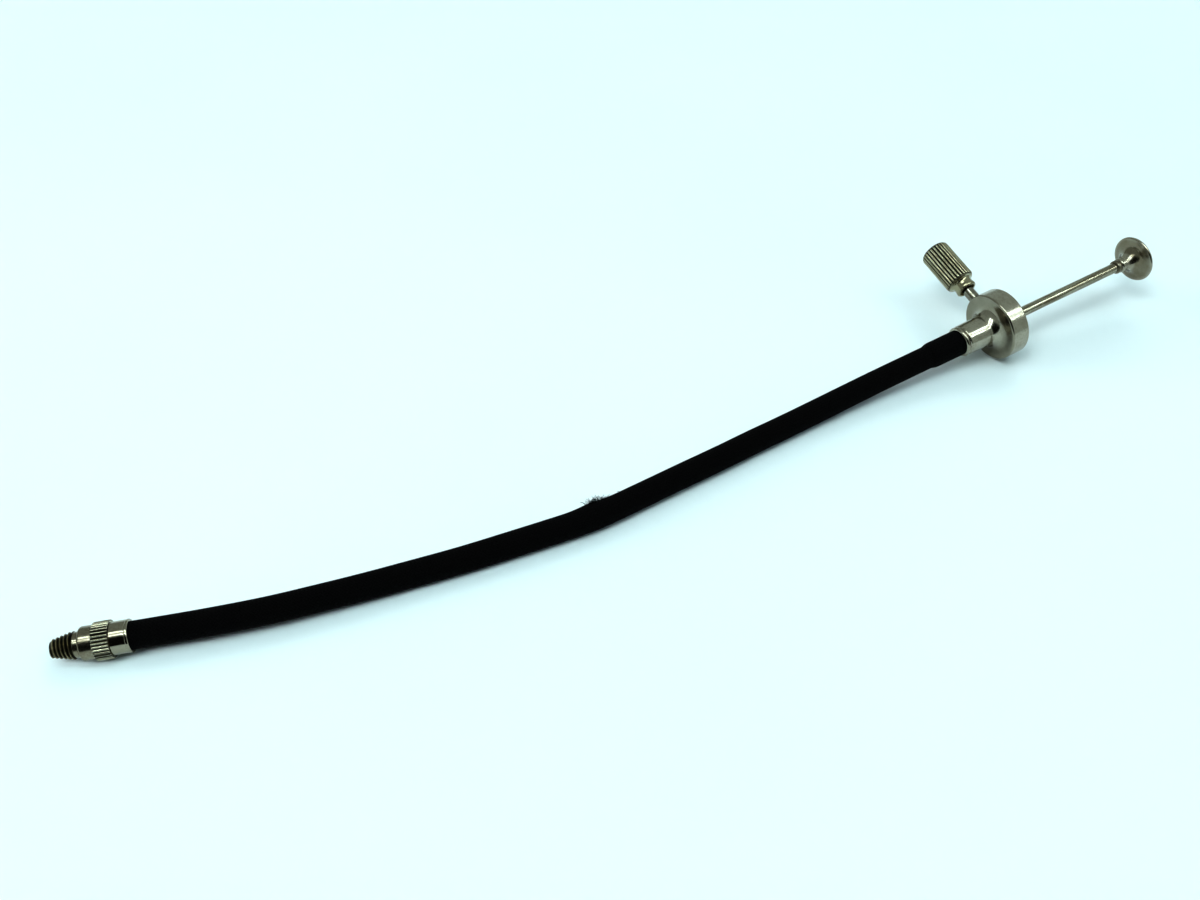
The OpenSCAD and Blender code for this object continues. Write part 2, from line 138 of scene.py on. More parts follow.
class Tone:
    """A socket in a finish's node tree. Sums on it add Math nodes."""

    def __init__(self, tree, socket=None):
        self.tree = tree
        self.socket = socket

    def node(self, kind, settings=None, inputs=None, output=0):
        """Adds a node of this kind: its settings first, then its sockets' values or links."""
        made = self.tree.nodes.new(kind)
        for key, value in (settings or {}).items():
            setattr(made, key, value)
        for key, value in (inputs or {}).items():
            if isinstance(value, Tone):
                self.tree.links.new(value.socket, made.inputs[key])
            else:
                made.inputs[key].default_value = value
        return Tone(self.tree, made.outputs[output])

    def math(self, operation, *values):
        return self.node("ShaderNodeMath", {"operation": operation}, dict(enumerate(values)))

    def __add__(self, other):
        return self.math("ADD", self, other)

    def __radd__(self, other):
        return self.math("ADD", other, self)

    def __sub__(self, other):
        return self.math("SUBTRACT", self, other)

    def __rsub__(self, other):
        return self.math("SUBTRACT", other, self)

    def __mul__(self, other):
        return self.math("MULTIPLY", self, other)

    def __rmul__(self, other):
        return self.math("MULTIPLY", other, self)

    def __truediv__(self, other):
        return self.math("DIVIDE", self, other)

    def __rtruediv__(self, other):
        return self.math("DIVIDE", other, self)

    def __pow__(self, other):
        return self.math("POWER", self, other)

    def __rpow__(self, other):
        return self.math("POWER", other, self)

    def root(self):
        return self.math("SQRT", self)

    def size(self):
        return self.math("ABSOLUTE", self)

    def most(self, other):
        return self.math("MAXIMUM", self, other)

    def part(self):
        return self.math("FRACT", self)

    def band(self, low, high):
        """0 below low, 1 above high, smooth between them."""
        return self.node(
            "ShaderNodeMapRange",
            {"interpolation_type": "SMOOTHSTEP"},
            {"Value": self, "From Min": low, "From Max": high, "To Min": 0.0, "To Max": 1.0},
        )

    def axes(self):
        split = self.node("ShaderNodeSeparateXYZ", None, {"Vector": self})
        outputs = split.socket.node.outputs
        return [Tone(self.tree, outputs[i]) for i in range(3)]

    def vector(self, x, y, z):
        return self.node("ShaderNodeCombineXYZ", None, {"X": x, "Y": y, "Z": z})

    def noise(self, at, scale, detail, rough):
        return self.node(
            "ShaderNodeTexNoise",
            None,
            {"Vector": at, "Scale": scale, "Detail": detail, "Roughness": rough},
        )

    def mixed(self, colour_a, colour_b):
        """From colour_a where this is 0 to colour_b where it is 1."""
        ends = {6: colour_a, 7: colour_b}
        for key, value in ends.items():
            if not isinstance(value, Tone):
                ends[key] = (*value, 1)
        return self.node("ShaderNodeMix", {"data_type": "RGBA"}, {0: self, **ends}, 2)


def new_finish(name):
    finish = bpy.data.materials.new(name)
    finish.use_nodes = True
    tree = finish.node_tree
    tree.nodes.clear()
    return finish, Tone(tree)


def close_finish(tone, shader):
    output = tone.tree.nodes.new("ShaderNodeOutputMaterial")
    tone.tree.links.new(shader.socket, output.inputs["Surface"])


def local_millimetres(tone, place):
    """Object coordinates turned into the piece's own millimetres along its axis."""
    at = tone.node("ShaderNodeTexCoord", None, None, 3)
    return tone.node(
        "ShaderNodeMapping",
        {"vector_type": "TEXTURE"},
        {
            "Vector": at,
            "Location": place.to_translation(),
            "Rotation": place.to_euler(),
            "Scale": (0.001, 0.001, 0.001),
        },
    )


NICKEL = (0.42, 0.385, 0.31)
TIP_NICKEL = (0.34, 0.305, 0.235)
TARNISH = (0.17, 0.125, 0.07)
# These colours paint bands darker on the disc's near face, the button's back and the lock screw's
# collar: partly a brown film, partly painted shade of the darker surroundings they mirror.
DISC_FILM_AND_SHADE = (0.275, 0.245, 0.185)
BUTTON_FILM_AND_SHADE = (0.20, 0.165, 0.11)
LOCK_COLLAR_FILM_AND_SHADE = (0.33, 0.295, 0.195)
PIT_BROWN = (0.045, 0.035, 0.022)
# The dark of the valleys and thread roots: partly dirt, partly painted shade.
GRIME_AND_SHADE = (0.012, 0.010, 0.005)


def turned_metal(
    name, place, bright, dull, rough,
    brown=0.35, blotch=0.55, mottle=0.3, pits=0.5, lines=16.0,
    length_lines=False, grime_and_shade=None, film_and_shade=(),
):
    """Old plated metal: tool lines, brown tarnish in patches, wear and small pits.

    bright and dull are the colours of the clean and of the tarnished metal. brown is how
    strong the tarnish is, and a higher blotch leaves less of it. mottle is how cloudy the
    plating is, and lines is how many tool lines a millimetre has, round the piece or, with
    length_lines, along it.
    grime gives the radii between which a dark valley turns into a clean crest, the place
    along the axis where that begins, how fast these radii shrink after it, and how far
    in the darkening reaches. The valleys are painted dark: partly dirt, partly painted shade.
    film lists the stretches of the axis that are painted darker, partly as a brown film and
    partly as painted shade, each with its colour."""
    finish, tone = new_finish(name)
    at = local_millimetres(tone, place)
    x, y, z = at.axes()
    radius = (x * x + y * y).root()
    # Tool lines and tarnish are drawn out along a pulled piece, and run round a turned one.
    if length_lines:
        tool = tone.noise(tone.vector(x * lines, y * lines, z * 0.05), 1.0, 2.0, 0.5)
        patches = tone.noise(tone.vector(x * 1.6, y * 1.6, z * 0.16), 1.0, 3.0, 0.55)
    else:
        tool = tone.noise(tone.vector(radius * lines, z * lines, 0.0), 1.0, 4.0, 0.6)
        patches = tone.noise(at, 0.55, 5.0, 0.62)
    fine = tone.noise(at, 4.5, 4.0, 0.6)
    specks = tone.noise(at, 11.0, 2.0, 0.5)
    tarnish = (patches * 0.75 + fine * 0.35).band(blotch - 0.08, blotch + 0.16)
    pit = specks.band(0.69, 0.76) * pits
    colour = (tarnish * brown + (tool - 0.5) * 0.35).most(0.0).mixed(bright, dull)
    colour = (fine.band(0.3, 0.75) * mottle).mixed(colour, [c * 0.6 for c in bright])
    # Painted shade and film: each listed stretch is painted darker.
    for start, end, film_and_shade_colour in film_and_shade:
        inside = z.band(start - 0.4, start + 0.1) * (1.0 - z.band(end, end + 0.3))
        colour = (inside * (0.5 + patches * 0.7)).mixed(colour, film_and_shade_colour)
    colour = pit.mixed(colour, PIT_BROWN)
    roughness = rough + tarnish * 0.10 + (tool - 0.5) * 0.08 + pit * 0.2
    # Painted shade and dirt: the valleys between crests and the thread's roots are painted dark.
    if grime_and_shade:
        low, high, start, shrink, deepest = grime_and_shade
        crest = (radius + (z - start) * shrink).band(low, high)
        dirt_and_shade = (1.0 - crest) * z.band(start - 0.2, start) * (0.75 + fine * 0.5)
        dirt_and_shade = dirt_and_shade * radius.band(deepest - 0.03, deepest)
        colour = dirt_and_shade.mixed(colour, GRIME_AND_SHADE)
        roughness = roughness + dirt_and_shade * 0.25
    height = tool * 0.10 + fine * 0.05 - pit * 0.25
    bump = tone.node(
        "ShaderNodeBump", None, {"Strength": 0.12, "Distance": 0.00004, "Height": height}
    )
    shader = tone.node(
        "ShaderNodeBsdfPrincipled",
        None,
        {"Base Color": colour, "Metallic": 1.0, "Roughness": roughness, "Normal": bump},
    )
    close_finish(tone, shader)
    return finish


def black_weave(name, length):
    """Black braided cotton: strands cross over and under along the piece's own map."""
    finish, tone = new_finish(name)
    uv = tone.node("ShaderNodeTexCoord", None, None, 2)
    u, v, _ = uv.axes()
    rows = length / braid_pitch
    one_way = u * braid_around + v * rows
    other_way = u * braid_around - v * rows
    ridge_a = 1.0 - (one_way.part() * 2.0 - 1.0).size() ** 2.0
    ridge_b = 1.0 - (other_way.part() * 2.0 - 1.0).size() ** 2.0
    crossing = tone.math("FLOOR", one_way) + tone.math("FLOOR", other_way)
    over = tone.math("PINGPONG", crossing, 1.0)
    strand = over * ridge_a + (1.0 - over) * ridge_b
    fibres = tone.noise(tone.vector(u * braid_around * 9.0, v * rows * 5.0, 0.0), 1.0, 4.0, 0.7)
    worn = tone.noise(tone.vector(u * 3.0, v * length * 0.35, 0.0), 1.0, 4.0, 0.6)
    # Painted shade: the gaps between crossing strands are painted darker than the strand tops,
    # mixed with random fibre tone.
    shade = (strand * 0.5 + fibres * 0.5).band(0.25, 0.95)
    colour = shade.mixed((0.0003, 0.0003, 0.0004), (0.0028, 0.0027, 0.0028))
    colour = (worn.band(0.55, 0.8) * 0.35).mixed(colour, (0.0045, 0.0043, 0.0042))
    bump = tone.node(
        "ShaderNodeBump",
        None,
        {"Strength": 0.8, "Distance": 0.00006, "Height": strand + fibres * 0.45},
    )
    shader = tone.node(
        "ShaderNodeBsdfPrincipled",
        None,
        {
            "Base Color": colour,
            "Roughness": 0.9 - shade * 0.08,
            "Specular IOR Level": 0.05,
            "Normal": bump,
        },
    )
    close_finish(tone, shader)
    return finish


# The disc's near face and the button's back are painted darker: partly brown film, partly painted
# shade.
nickel_on_handle = turned_metal(
    "aged_nickel_handle", handle_place, NICKEL, TARNISH, rough=0.15, pits=0.8,
    film_and_shade=((-0.1, 0.1, DISC_FILM_AND_SHADE), (29.2, 30.1, BUTTON_FILM_AND_SHADE)),
)
nickel_on_tip = turned_metal(
    "aged_nickel_tip", tip_place, TIP_NICKEL, TARNISH, rough=0.10,
    brown=0.30, pits=0.8, mottle=0.15,
)
drawn_steel = turned_metal(
    "drawn_steel", handle_place, (0.39, 0.36, 0.275), (0.12, 0.085, 0.045), rough=0.13,
    brown=0.7, blotch=0.52, pits=0.25, mottle=0.15, length_lines=True, lines=5.0,
)
dull_collar = turned_metal(
    "dull_collar", handle_place, (0.27, 0.245, 0.185), (0.11, 0.085, 0.045), rough=0.27,
    brown=0.7, blotch=0.48,
)
shank_steel = turned_metal(
    "shank_steel", lock_place, (0.30, 0.28, 0.225), (0.12, 0.09, 0.05), rough=0.15, brown=0.6
)
pin_steel = turned_metal(
    "pin_steel", tip_place, (0.40, 0.38, 0.33), (0.2, 0.155, 0.09), rough=0.25, brown=0.4
)
# The lock screw's collar and waist are painted darker: partly brown film, partly painted shade.
worn_knurl = turned_metal(
    "worn_knurl", lock_place, (0.52, 0.49, 0.35), (0.24, 0.175, 0.08), rough=0.14,
    brown=0.5, blotch=0.5, grime_and_shade=(2.20, 2.36, 9.6, 0.0, 1.0),
    film_and_shade=((7.0, 9.2, LOCK_COLLAR_FILM_AND_SHADE),),
)
ring_knurl = turned_metal(
    "ring_knurl", tip_place, (0.46, 0.43, 0.32), TARNISH, rough=0.13, brown=0.4,
    grime_and_shade=(2.28, 2.42, 0.1, 0.0, 2.265),
)
# The thread's roots and the nipple beside them are painted dark: partly dirt, partly painted shade.
thread_grime_and_shade = (1.66, 1.82, taper_start, taper_drop / taper_length, 0.5)
nickel_on_nipple = turned_metal(
    "aged_nickel_nipple", tip_place, (0.31, 0.275, 0.205), TARNISH, rough=0.17,
    brown=0.55, blotch=0.5, pits=0.8, mottle=0.4, grime_and_shade=thread_grime_and_shade,
)
thread_brown = turned_metal(
    "dark_thread", tip_place, (0.44, 0.37, 0.22), (0.12, 0.09, 0.045), rough=0.15,
    brown=0.8, blotch=0.48, grime_and_shade=thread_grime_and_shade,
)
casing_steel = turned_metal(
    "casing_steel", MM, (0.42, 0.42, 0.41), (0.24, 0.21, 0.17), rough=0.32, brown=0.4
)
plain_brass = turned_metal(
    "turned_brass", handle_place, (0.60, 0.45, 0.19), (0.30, 0.20, 0.08), rough=0.28, brown=0.5
)


# ------------------------------------------------------------------ the cable


def route_point(back, sideways, handle_share=0, tip_share=0):
    """A point of the cable's route, from its distance back from the neck's mouth.
    The shares say how much of the handle's or of the tip's height it still has."""
    return Vector(
        (
            mouth.x - back,
            mouth.y + sideways,
            sleeve_r + handle_share * (mouth.z - sleeve_r) + tip_share * (tip_r - sleeve_r),
        )
    )


def on_handle(k):
    return 1000 * (handle_place @ Vector((0, 0, k)))


def on_tip(t):
    return 1000 * (tip_place @ Vector((0, 0, t)))


mouth = on_handle(neck_mouth)
cable_bend = route_point(66.5, -3.6)
route = [
    on_handle(-1.8), mouth, on_handle(-20.2), on_handle(-21.2),
    route_point(21.5, -0.2, 0.21), route_point(27, -0.5, 0.09), route_point(33, -0.9, 0.01),
    route_point(39.5, -1.4), route_point(46, -2), route_point(52.5, -2.5),
    route_point(58.5, -3), route_point(63.5, -3.4), cable_bend,
    route_point(70, -3.5), route_point(74, -3.2), route_point(80, -2.7),
    route_point(86.5, -2.1), route_point(93, -1.3, 0, 0.08), route_point(99.5, -0.5, 0, 0.3),
    route_point(106, 0.4, 0, 0.62), route_point(112, 1.35, 0, 0.9),
    on_tip(-11.25), on_tip(-2.25), on_tip(-0.75),
]


def smooth_line(points, step):
    """Points about a step apart on a smooth line through the given ones."""
    line = []
    for i in range(len(points) - 1):
        a, b = points[i], points[i + 1]
        before = points[i - 1] if i else a + (a - b)
        after = points[i + 2] if i + 2 < len(points) else b + (b - a)
        t0 = (a - before).length ** 0.5
        t1 = (b - a).length ** 0.5
        t2 = (after - b).length ** 0.5
        lean_a = ((a - before) / t0 - (b - before) / (t0 + t1) + (b - a) / t1) * t1
        lean_b = ((b - a) / t1 - (after - a) / (t1 + t2) + (after - b) / t2) * t1
        count = max(1, round((b - a).length / step))
        for j in range(count):
            s = j / count
            line.append(
                (2 * s**3 - 3 * s**2 + 1) * a
                + (s**3 - 2 * s**2 + s) * lean_a
                + (3 * s**2 - 2 * s**3) * b
                + (s**3 - s**2) * lean_b
            )
    line.append(points[-1])
    return line


def weave_height(u, v):
    """How far a strand stands up at a place of the braid, from 0 to 1."""
    one, other = u + v, u - v
    ridge = one if (math.floor(one) + math.floor(other)) % 2 else other
    return 1 - abs(2 * (ridge - math.floor(ridge)) - 1) ** 2


def frame_at(line, i):
    """The cable's own directions at a point of its line: ahead, level across, and above."""
    ahead = (line[min(i + 1, len(line) - 1)] - line[max(i - 1, 0)]).normalized()
    across = ahead.cross(Vector((0, 0, 1))).normalized()
    return ahead, across, across.cross(ahead)


def length_of(line):
    return sum((line[i + 1] - line[i]).length for i in range(len(line) - 1))


def woven_tube(name, line, radius, bore, sides=72, bore_step=12):
    """A hollow braided tube along a line, with its own map: u round it, v along it.
    The bore has a ring only at each bore_step-th point, because it has no weave."""
    total = length_of(line)
    turns = [2 * math.pi * j / sides for j in range(sides)]
    rings, places, s = [], [], 0.0
    for i, centre in enumerate(line):
        if i:
            s += (centre - line[i - 1]).length
        _, across, above = frame_at(line, i)
        ring = []
        for j, a in enumerate(turns):
            out = math.cos(a) * across + math.sin(a) * above
            high = weave_height(braid_around * j / sides, s / braid_pitch)
            ring.append(centre + out * radius(s, total, a, high))
        rings.append(ring)
        places.append(s / total)
    inner = []
    keep = list(range(len(line) - 1, 0, -bore_step)) + [0]
    for i in keep:
        _, across, above = frame_at(line, i)
        inner.append([line[i] + bore * (math.cos(a) * across + math.sin(a) * above) for a in turns])
    stack = rings + inner
    places += [places[i] for i in keep]
    faces, maps = [], []
    count = len(stack)
    for i in range(count):
        n = (i + 1) % count
        for j in range(sides):
            m = (j + 1) % sides
            faces.append((i * sides + j, n * sides + j, n * sides + m, i * sides + m))
            u0, u1 = j / sides, (j + 1) / sides
            v0, v1 = places[i], places[n]
            maps.append(((u0, v0), (u0, v1), (u1, v1), (u1, v0)))
    mesh = bpy.data.meshes.new(name)
    mesh.from_pydata([0.001 * p for ring in stack for p in ring], [], faces)
    layer = mesh.uv_layers.new(name="along")
    for polygon, corners in zip(mesh.polygons, maps):
        for loop, corner in zip(polygon.loop_indices, corners):
            layer.data[loop].uv = corner
        polygon.use_smooth = True
    piece = bpy.data.objects.new(name, mesh)
    scene.collection.objects.link(piece)
    return piece, total


line_step = 0.125
worn_side = math.radians(48)
cable_line = smooth_line(route, line_step)
bend_at = min(range(len(cable_line)), key=lambda i: (cable_line[i] - cable_bend).length)
bend_s = length_of(cable_line[: bend_at + 1])


def lump(s, a, high=0.26, reach=2.2, past_bend=0.6):
    """How far the pushed-up cloth at the bend stands out, on the side that faces up and back."""
    off = (s - bend_s - past_bend) / reach
    side = math.cos(a - worn_side)
    return high * math.exp(-off * off) * side**2 if side > 0 else 0.0


def sleeve_radius(s, total, a, high):
    """The sleeve's radius; under the cuff and in the ferrule it has no weave."""
    woven = 1.0 if 6.5 < s < total - 1.6 else 0.0
    return sleeve_r - sleeve_weave_depth * woven * (1 - high) + lump(s, a)


woven_sleeve, sleeve_length = woven_tube("woven_sleeve", cable_line, sleeve_radius, sleeve_bore_r)
sleeve_cloth = black_weave("black_cloth_sleeve", sleeve_length)
woven_sleeve.data.materials.append(sleeve_cloth)

# The cuff covers the 6 mm behind the neck's mouth.
cuff_line = smooth_line([on_handle(neck_mouth - 0.1 * i) for i in range(0, 61, 2)], 0.1)


def cuff_radius(s, total, a, high):
    """The cuff's radius: a round edge at the mouth, and a soft taper down to the sleeve."""
    near, far = s / 0.3, (total - s) / 1.1
    soft = 1.0
    if near < 1:
        soft = math.sqrt(max(0.0, 1 - (1 - near) ** 2))
    if far < 1:
        soft = min(soft, math.sin(0.5 * math.pi * max(far, 0.0)))
    return sleeve_fit_r + cuff_wall * soft - cuff_weave_depth * (1 - high) * soft + 0.005


woven_cuff, cuff_length = woven_tube("woven_cuff", cuff_line, cuff_radius, sleeve_fit_r)
cuff_cloth = black_weave("black_cloth_cuff", cuff_length)
woven_cuff.data.materials.append(cuff_cloth)


def loose_threads(name, roots, seed, thick=0.07, steps=7, sides=5):
    """Thin frayed ends, each a tapering thread that curls away from its root."""
    picked = random.Random(seed)
    points, faces = [], []
    for root, away, along, long in roots:
        side = away.cross(along)
        place, way = root.copy(), away.copy()
        curl = picked.uniform(-1.3, 1.3)
        sway = picked.uniform(-0.9, 0.9)
        first = len(points)
        for i in range(steps + 1):
            thread_r = thick * (1 - 0.7 * i / steps)
            p = way.cross(side).normalized()
            q = way.cross(p).normalized()
            for j in range(sides):
                a = 2 * math.pi * j / sides
                points.append(place + thread_r * (math.cos(a) * p + math.sin(a) * q))
            place = place + way * (long / steps)
            way = (way + along * curl / steps * 1.8 + side * sway / steps).normalized()
        for i in range(steps):
            for j in range(sides):
                a, b = first + i * sides + j, first + i * sides + (j + 1) % sides
                faces.append((a, b, b + sides, a + sides))
        faces.append(tuple(first + j for j in range(sides - 1, -1, -1)))
        faces.append(tuple(first + steps * sides + j for j in range(sides)))
    mesh = bpy.data.meshes.new(name)
    mesh.from_pydata([0.001 * p for p in points], [], faces)
    for polygon in mesh.polygons:
        polygon.use_smooth = True
    piece = bpy.data.objects.new(name, mesh)
    scene.collection.objects.link(piece)
    piece.data.materials.append(sleeve_cloth)
    return piece


def fray_roots(threads, seed):
    """Roots about the bend, one thread in six further off, each with the way it leans,
    the cable's direction there, and its length."""
    picked = random.Random(seed)
    roots = []
    for n in range(threads):
        i = bend_at + round(picked.gauss(0, 7 if n % 6 else 20))
        i = max(1, min(len(cable_line) - 2, i))
        ahead, across, above = frame_at(cable_line, i)
        a = worn_side + math.radians(picked.gauss(0, 13))
        away = math.cos(a) * across + math.sin(a) * above
        lean = (away + ahead * picked.uniform(-1.2, 0.5)).normalized()
        surface = sleeve_r + lump(bend_s + (i - bend_at) * line_step, a)
        root = cable_line[i] + away * (surface - 0.03)
        roots.append((root, lean, ahead, picked.uniform(0.4, 1.0)))
    return roots


frayed_threads = loose_threads("frayed_threads", fray_roots(36, 7), 11)


# ------------------------------------------------------------------ turned pieces


def arc(k, r, size, start, end, steps):
    """Stations of an arc about (k, r): 0 degrees is straight out, 90 is along +k."""
    angles = [math.radians(start + (end - start) * i / steps) for i in range(steps + 1)]
    return [(k + size * math.sin(a), r + size * math.cos(a)) for a in angles]


def held(stations, edge=0.025):
    """Adds a station beside each end of a long stretch, so that it shades flat up to its edges."""
    out = [stations[0]]
    for (k0, r0), (k1, r1) in zip(stations, stations[1:]):
        long = math.hypot(k1 - k0, r1 - r0)
        if long > 6 * edge:
            for s in (edge / long, 1 - edge / long):
                out.append((k0 + (k1 - k0) * s, r0 + (r1 - r0) * s))
        out.append((k1, r1))
    return out


def take_up(piece):
    """Makes this the one piece that is selected and active."""
    bpy.ops.object.select_all(action="DESELECT")
    piece.select_set(True)
    bpy.context.view_layer.objects.active = piece


def face_outward():
    """Turns the faces outward and leaves edit mode."""
    bpy.ops.mesh.select_mode(type="VERT")
    bpy.ops.mesh.select_all(action="SELECT")
    bpy.ops.mesh.normals_make_consistent(inside=False)
    bpy.ops.object.mode_set(mode="OBJECT")


def close_ends(bored):
    """Joins the two open ends into a bore, or closes each of them, and leaves edit mode."""
    bpy.ops.mesh.select_mode(type="EDGE")
    bpy.ops.mesh.select_all(action="DESELECT")
    bpy.ops.mesh.select_non_manifold()
    if bored:
        bpy.ops.mesh.bridge_edge_loops()
    else:
        bpy.ops.mesh.fill_holes(sides=0)
    face_outward()


def turned(name, stations, sides=96, bored=True):
    """A ring drawn out along +Z from station to station, as on a lathe.
    A bored piece's last ring is joined to its first; any other is closed at both ends."""
    bpy.ops.object.select_all(action="DESELECT")
    k, r = stations[0]
    bpy.ops.mesh.primitive_circle_add(vertices=sides, radius=r, location=(0, 0, k))
    piece = bpy.context.object
    piece.name = piece.data.name = name
    bpy.ops.object.mode_set(mode="EDIT")
    bpy.ops.mesh.select_mode(type="VERT")
    bpy.ops.mesh.select_all(action="SELECT")
    for next_k, next_r in stations[1:]:
        bpy.ops.mesh.extrude_region_move(TRANSFORM_OT_translate={"value": (0, 0, next_k - k)})
        if next_r != r:
            bpy.ops.transform.resize(
                value=(next_r / r, next_r / r, 1), center_override=(0, 0, next_k)
            )
        k, r = next_k, next_r
    close_ends(bored)
    bpy.ops.object.transform_apply(location=True, rotation=True, scale=True)
    return piece


def pick_points(piece, chosen):
    """In edit mode, selects only the points whose place passes the test."""
    mesh = bmesh.from_edit_mesh(piece.data)
    for face in mesh.faces:
        face.select = False
    for edge in mesh.edges:
        edge.select = False
    for point in mesh.verts:
        point.select = chosen(point.co)
    bmesh.update_edit_mesh(piece.data)


def knurl(piece, ribs, crest, height, low, high):
    """Presses straight V ribs into a turned piece, between the stations low and high:
    the points between two crests move inward, as rib_shape says."""
    take_up(piece)
    bpy.ops.object.mode_set(mode="EDIT")
    bpy.ops.mesh.select_mode(type="VERT")
    steps = len(rib_shape)
    for i, depth in enumerate(rib_shape):
        if depth == 0:
            continue
        floor_r = crest - height * depth

        def between(p, i=i, floor_r=floor_r):
            if not low < p.z < high or math.hypot(p.x, p.y) <= floor_r + 1e-5:
                return False
            return round(math.atan2(p.y, p.x) * ribs * steps / (2 * math.pi)) % steps == i

        points = bmesh.from_edit_mesh(piece.data).verts
        rings = dict.fromkeys(
            round(math.hypot(p.co.x, p.co.y), 4) for p in points if between(p.co)
        )
        for ring_r in rings:
            pick_points(piece, lambda p: between(p) and abs(math.hypot(p.x, p.y) - ring_r) < 2e-4)
            share = floor_r / ring_r
            bpy.ops.transform.resize(value=(share, share, 1), center_override=(0, 0, 0))
    face_outward()


def screw_up(piece, pitch, turns, steps):
    """Sweeps a flat section up the Z axis in a helix of so many turns."""
    helix = piece.modifiers.new("helix", "SCREW")
    helix.axis = "Z"
    helix.screw_offset = pitch
    helix.iterations = turns
    helix.steps = helix.render_steps = steps
    helix.use_merge_vertices = False
    bpy.ops.object.modifier_apply(modifier="helix")


def settle(piece, place, body, node, finish, angle=32):
    """Puts a finished piece in its place, in metres, and lets it ride on its body.
    Edges sharper than angle, in degrees, stay sharp in the shading."""
    take_up(piece)
    bpy.ops.object.shade_smooth_by_angle(angle=math.radians(angle))
    piece.matrix_world = place
    bpy.ops.object.transform_apply(location=True, rotation=True, scale=True)
    piece.data.materials.clear()
    piece.data.materials.append(finish)
    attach(piece, body)
    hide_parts(node)


# Finger disc: bead at the mouth, neck, flare, disc and the stepped bore
rim_centre_r = disc_rim_r - disc_round
finger_disc = turned(
    "disc_and_neck",
    held(
        [(neck_mouth, sleeve_fit_r)]
        + arc(-5.925, 2.075, 0.375, -90, 60, 14)
        + [(-5.57, 2.30), (-5.52, 2.37), (-5.45, 2.43), (-5.38, 2.452)]
        + arc(-1.7, 4.25, 1.7, 180, 90, 20)
        + arc(disc_round, rim_centre_r, disc_round, -90, 0, 8)
        + arc(disc_front - disc_round, rim_centre_r, disc_round, 0, 90, 8)
        + [(disc_front, 0.98), (3.09, 0.875), (0.2, 0.875)]
        + [(0.2, 1.409), (-1.8, 1.409), (-1.8, sleeve_fit_r)]
    ),
    sides=128,
)
# The lock screw's hole, drilled in from the rim to the rod's bore
bpy.ops.object.select_all(action="DESELECT")
bpy.ops.mesh.primitive_cylinder_add(vertices=64, radius=shank_r + 0.05, depth=6.4)
drill = bpy.context.object
drill.matrix_world = lock_turn @ Matrix.Translation((0, 0, 3.7))
take_up(finger_disc)
hole = finger_disc.modifiers.new("lock_hole", "BOOLEAN")
hole.operation = "DIFFERENCE"
hole.solver = "EXACT"
hole.object = drill
bpy.ops.object.modifier_apply(modifier="lock_hole")
bpy.data.objects.remove(drill)
settle(finger_disc, handle_place, "casing", "finger_disc", nickel_on_handle)

# Plunger: rod, collar and trumpet-shaped button
rod = turned(
    "drawn_rod",
    held(
        [(rod_tail, axis_r), (rod_tail, 0.775), (-1.0, rod_r)]
        + [(29.5, rod_r), (rod_nose, 0.725), (rod_nose, axis_r)]
    ),
    sides=64,
    bored=False,
)
settle(rod, handle_place, "plunger", "plunger_rod", drawn_steel)

on_rod_r = rod_r + 0.02
collar = turned(
    "turned_collar",
    held(
        [(collar_back, on_rod_r)]
        + arc(26.5, 0.9, 0.2, -90, 0, 6)
        + arc(26.9, 0.9, 0.2, 0, 90, 7)
        + [(collar_front, on_rod_r)]
    ),
    sides=80,
)
settle(collar, handle_place, "plunger", "button_collar", dull_collar)

# The button's hub flares out like a trumpet into a back that slopes to the round rim.
hub_r, flare_r, back_slope = 1.2, 2.2, math.radians(15)
back_k, back_r = 30.12, 3.15
rim_r, rim_round = 3.525, 0.275
dish_r, dish_depth = 2.9, 0.25
flare_out = hub_r + flare_r * (1 - math.sin(back_slope))
flare_k = back_k - (back_r - flare_out) * math.tan(back_slope) - flare_r * math.cos(back_slope)
dish = [
    (thumb_face - dish_depth * (1 - (r / dish_r) ** 2), r)
    for r in (dish_r, 2.6, 2.2, 1.8, 1.3, 0.8, 0.4, axis_r)
]
button = turned(
    "thumb_button_turned",
    held(
        [(rod_nose, axis_r), (rod_nose, on_rod_r), (collar_front, on_rod_r), (collar_front, 0.9)]
        + arc(collar_front + 0.3, 0.9, 0.3, -90, 0, 8)
        + arc(flare_k, hub_r + flare_r, flare_r, 180, 105, 24)
        + [(back_k, back_r)]
        + arc(thumb_face - rim_round, rim_r, rim_round, -73, 90, 16)
        + dish
    ),
    sides=112,
    bored=False,
)
settle(button, handle_place, "plunger", "thumb_button", nickel_on_handle)

# Lock screw: plain shank, then the head with its collar, waist and ribs
shank = turned(
    "screw_shank",
    held(
        [(1.325, axis_r), (1.325, 0.6), (1.625, shank_r)]
        + [(11.65, shank_r), (11.7, 0.85), (11.7, axis_r)]
    ),
    sides=56,
    bored=False,
)
settle(shank, lock_place, "lock_screw_shank", "lock_shank", shank_steel)

